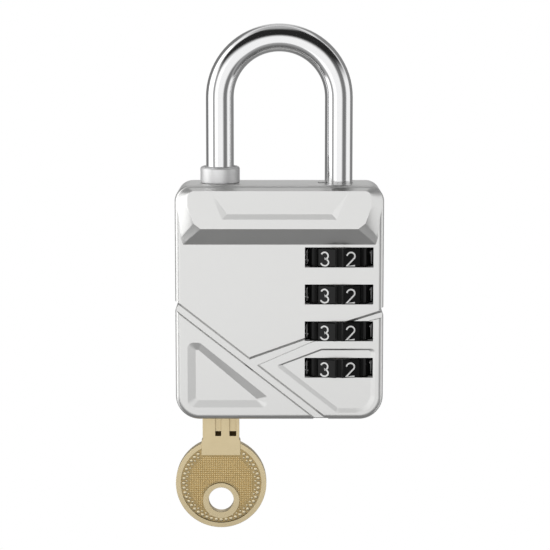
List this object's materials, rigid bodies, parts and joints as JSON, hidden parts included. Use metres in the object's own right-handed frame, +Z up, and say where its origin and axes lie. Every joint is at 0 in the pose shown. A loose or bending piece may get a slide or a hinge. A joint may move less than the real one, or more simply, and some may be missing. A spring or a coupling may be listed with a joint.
{
  "type": "combination padlock with override key",
  "caption": "Silver case padlock with a lifting polished shackle, number dials in side windows, and a brass override key in a cylinder at its foot.",
  "frame": {"origin": "underside of the shackle bow, on the middle plane of the legs", "axes": "+Z up along the legs, -Y out of the front face with the windows, +X towards the heel leg"},
  "size_m": [0.0453, 0.0206, 0.111],
  "materials": {
    "silver_case": "satin silver",
    "polished_steel": "polished chrome plate",
    "brushed_steel": "turned and brushed",
    "plain_steel": "plain machined steel",
    "cylinder_brass": "machined brass",
    "key_brass": "satin pale brass",
    "dial_black": "gloss black with white numbers"
  },
  "bodies": {
    "case": {"rear_case": "silver_case", "front_cover": "silver_case", "toe_collar": "brushed_steel", "cover_pins": "plain_steel", "detent_leaf": "plain_steel", "cylinder_shell": "cylinder_brass", "cylinder_pin": "plain_steel", "pin_cap": "cylinder_brass", "driver_pins": "plain_steel", "pin_springs": "plain_steel", "lift_spring": "plain_steel"},
    "shackle": {"shackle": "polished_steel", "rod_clip": "plain_steel", "finned_sleeve": "plain_steel", "carriage": "plain_steel"},
    "latch": {"latch_plate": "plain_steel"},
    "plug": {"plug": "cylinder_brass", "cam_shaft": "plain_steel", "key_pins": "cylinder_brass"},
    "key": {"key": "key_brass"},
    "dial_1": {"dial_1": "dial_black", "gate_ring_1": "cylinder_brass"},
    "dial_2": {"dial_2": "dial_black", "gate_ring_2": "cylinder_brass"},
    "dial_3": {"dial_3": "dial_black", "gate_ring_3": "cylinder_brass"},
    "dial_4": {"dial_4": "dial_black", "gate_ring_4": "cylinder_brass"}
  },
  "joints": [
    {"name": "shackle_lift", "type": "slide", "parent": "case", "child": "shackle", "axis": [0, 0, 1], "range_m": [0, 0.00805], "deforming": ["lift_spring"]},
    {"name": "plug_turn", "type": "hinge", "parent": "case", "child": "plug", "pos_m": [-0.01284, 0, -0.07], "axis": [0, 0, 1], "range_deg": [0, 90]},
    {"name": "key_withdraw", "type": "slide", "parent": "plug", "child": "key", "axis": [0, 0, -1], "range_m": [0, 0.024]},
    {"name": "latch_slide", "type": "slide", "parent": "shackle", "child": "latch", "axis": [-1, 0, 0], "range_m": [0, 0.0015]},
    {"name": "dial_1_spin", "type": "hinge", "parent": "case", "child": "dial_1", "pos_m": [0.01284, 0, -0.04365], "axis": [0, 0, 1], "continuous": true},
    {"name": "dial_2_spin", "type": "hinge", "parent": "case", "child": "dial_2", "pos_m": [0.01284, 0, -0.0517], "axis": [0, 0, 1], "continuous": true},
    {"name": "dial_3_spin", "type": "hinge", "parent": "case", "child": "dial_3", "pos_m": [0.01284, 0, -0.05975], "axis": [0, 0, 1], "continuous": true},
    {"name": "dial_4_spin", "type": "hinge", "parent": "case", "child": "dial_4", "pos_m": [0.01284, 0, -0.0678], "axis": [0, 0, 1], "continuous": true}
  ],
  "couplings": [
    {"joint": "latch_slide", "follows": "plug_turn", "m_per_rad": 0.00095493}
  ]
}
